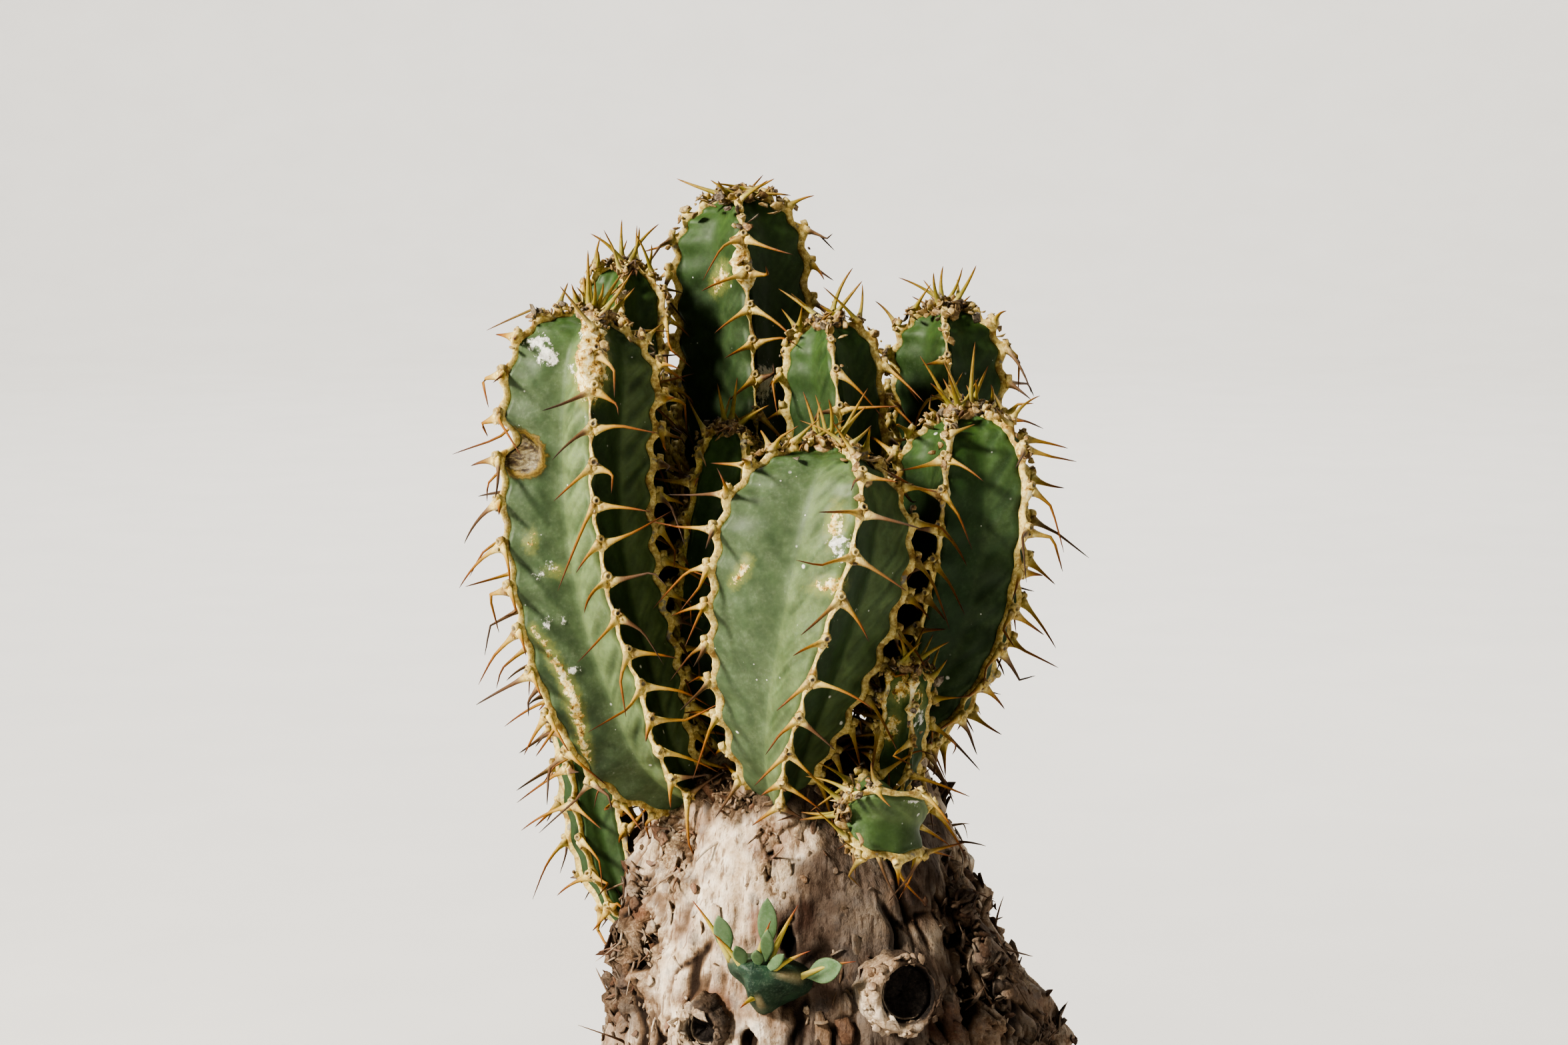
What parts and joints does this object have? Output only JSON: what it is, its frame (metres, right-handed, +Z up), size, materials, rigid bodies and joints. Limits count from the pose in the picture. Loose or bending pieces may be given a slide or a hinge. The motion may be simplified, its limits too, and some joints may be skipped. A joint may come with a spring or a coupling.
{
  "type": "potted succulent",
  "caption": "Potted caudex succulent: a swollen corky trunk crowned with upright ribbed arms edged in horny, spiny margins.",
  "frame": {"origin": "middle of the pot's foot, on the surface that the pot stands on", "axes": "+Z up, -Y towards the viewer, +X to the viewer's right"},
  "size_m": [0.15, 0.15, 0.2833],
  "materials": {
    "terracotta": "matt, porous",
    "soil": "rough, gritty",
    "bark": "corky, flaking",
    "flesh": "waxy bloom",
    "young_flesh": "waxy",
    "horn": "dry horn"
  },
  "bodies": {
    "root": {"arm_back_left": "flesh", "arm_back_middle": "flesh", "arm_back_offset": "flesh", "arm_back_right": "flesh", "arm_centre_front": "flesh", "arm_front_offset": "flesh", "arm_left_front": "flesh", "arm_left_low": "flesh", "arm_left_rear": "flesh", "arm_middle": "flesh", "arm_right_front": "flesh", "arm_right_offset": "flesh", "arm_right_rear": "flesh", "arm_small_centre": "flesh", "arm_tall": "flesh", "caudex": "bark", "margins_back_left": "horn", "margins_back_middle": "horn", "margins_back_offset": "horn", "margins_back_right": "horn", "margins_centre_front": "horn", "margins_front_offset": "horn", "margins_left_front": "horn", "margins_left_low": "horn", "margins_left_rear": "horn", "margins_middle": "horn", "margins_right_front": "horn", "margins_right_offset": "horn", "margins_right_rear": "horn", "margins_small_centre": "horn", "margins_tall": "horn", "pot": "terracotta", "soil": "soil", "young_shoot": "young_flesh"}
  },
  "joints": []
}
